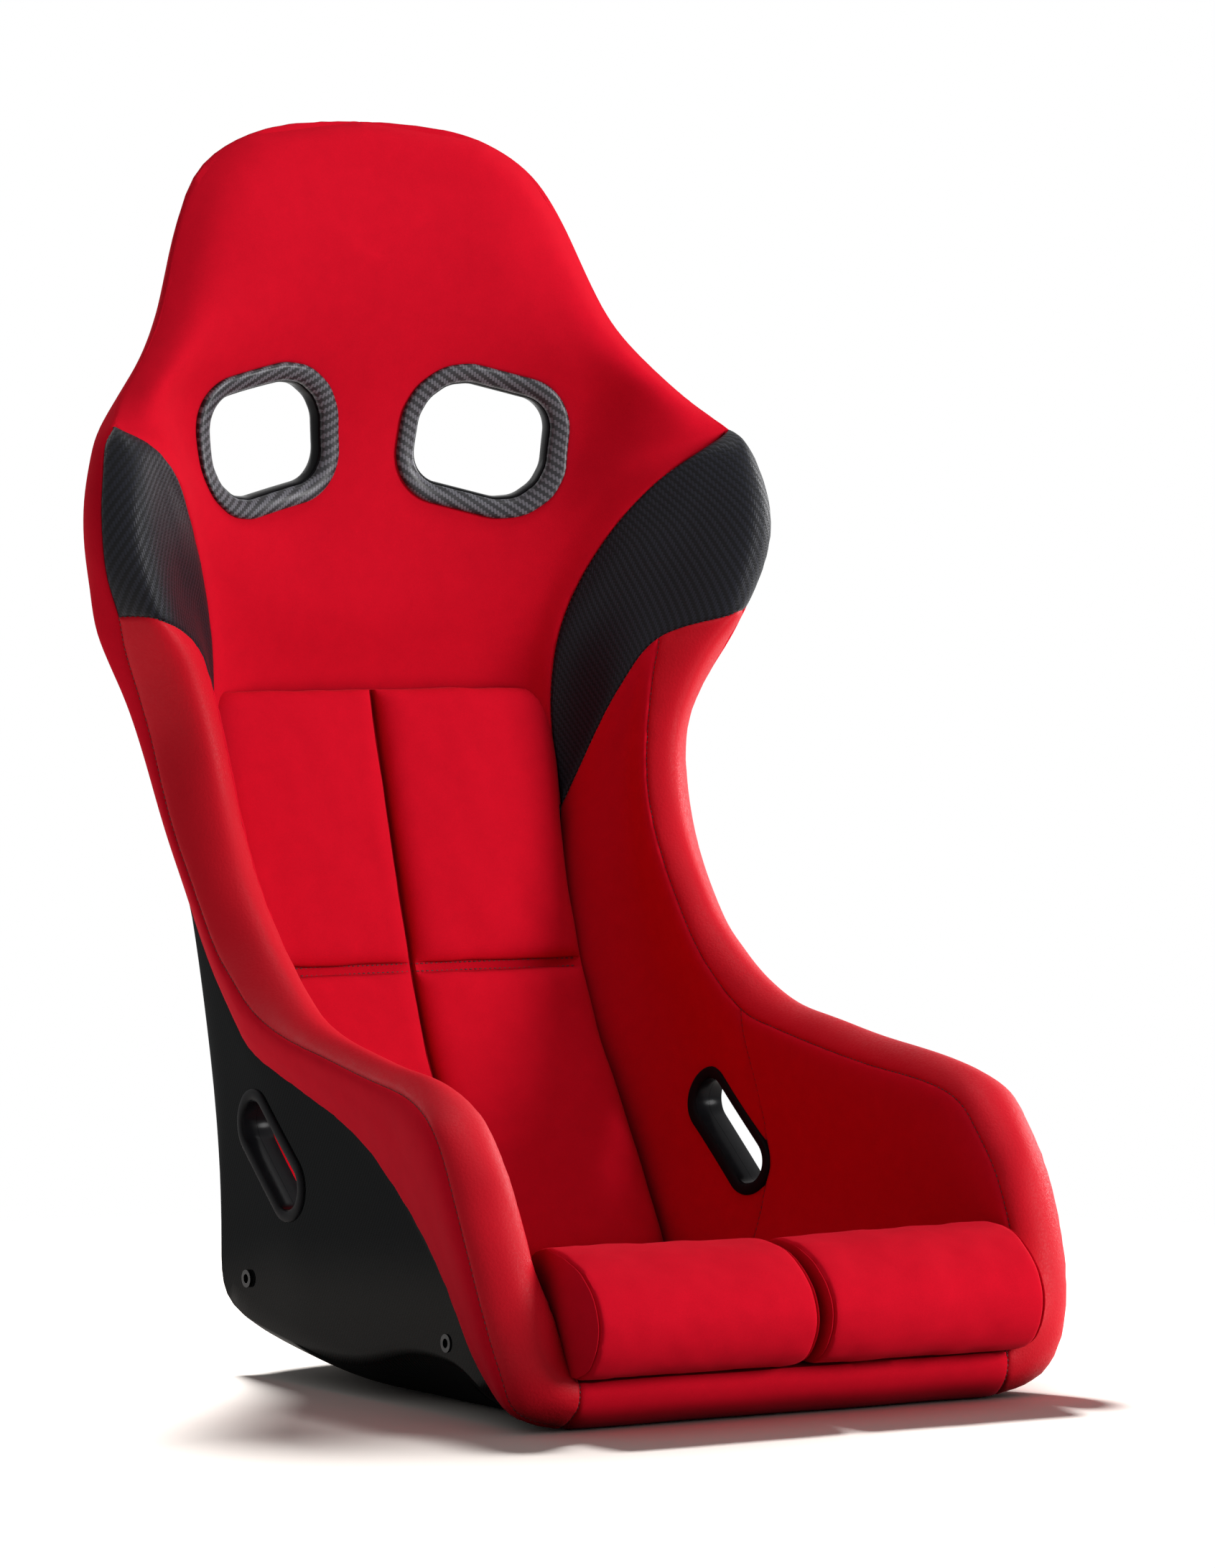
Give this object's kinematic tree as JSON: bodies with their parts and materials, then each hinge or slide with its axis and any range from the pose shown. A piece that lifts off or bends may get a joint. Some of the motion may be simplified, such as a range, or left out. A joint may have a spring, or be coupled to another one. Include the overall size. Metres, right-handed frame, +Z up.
{
  "type": "full-bucket racing seat",
  "caption": "High-backed bucket seat with a moulded shell, padded fabric cover, harness openings and threaded side mounts.",
  "frame": {"origin": "middle of the footprint, on the floor", "axes": "+Z up, the sitter faces -Y, +X to the sitter's left"},
  "size_m": [0.585, 0.6712, 0.928],
  "materials": {
    "shell": "gloss black gel coat over woven fibre",
    "red_fabric": "matte suede-like knit",
    "red_leathercloth": "satin pebble grain",
    "black_vinyl": "embossed twill",
    "liner_cloth": "matte felt",
    "bezel_twill": "moulded, woven-look surface",
    "bezel_black": "moulded, fine texture",
    "steel": "zinc plated"
  },
  "bodies": {
    "root": {"shell": "shell", "base_liner": "liner_cloth", "head_cover": "red_fabric", "lip_cover": "red_fabric", "wing_panel_left": "black_vinyl", "wing_panel_right": "black_vinyl", "bolster_facing_left": "red_leathercloth", "bolster_facing_right": "red_leathercloth", "upper_side_left": "red_fabric", "upper_side_right": "red_fabric", "thigh_side_left": "red_fabric", "thigh_side_right": "red_fabric", "outer_band_left": "red_fabric", "outer_band_right": "red_fabric", "back_cushion": "red_fabric", "seat_cushion": "red_fabric", "thigh_roll_left": "red_fabric", "thigh_roll_right": "red_fabric", "shoulder_bezel_front_left": "bezel_twill", "shoulder_bezel_front_right": "bezel_twill", "shoulder_bezel_rear_left": "bezel_twill", "shoulder_bezel_rear_right": "bezel_twill", "lap_bezel_inner_left": "bezel_black", "lap_bezel_inner_right": "bezel_black", "lap_bezel_outer_left": "bezel_black", "lap_bezel_outer_right": "bezel_black", "crotch_bezel": "bezel_black", "side_plate_left": "steel", "side_plate_right": "steel", "mount_inserts": "steel"}
  },
  "joints": []
}
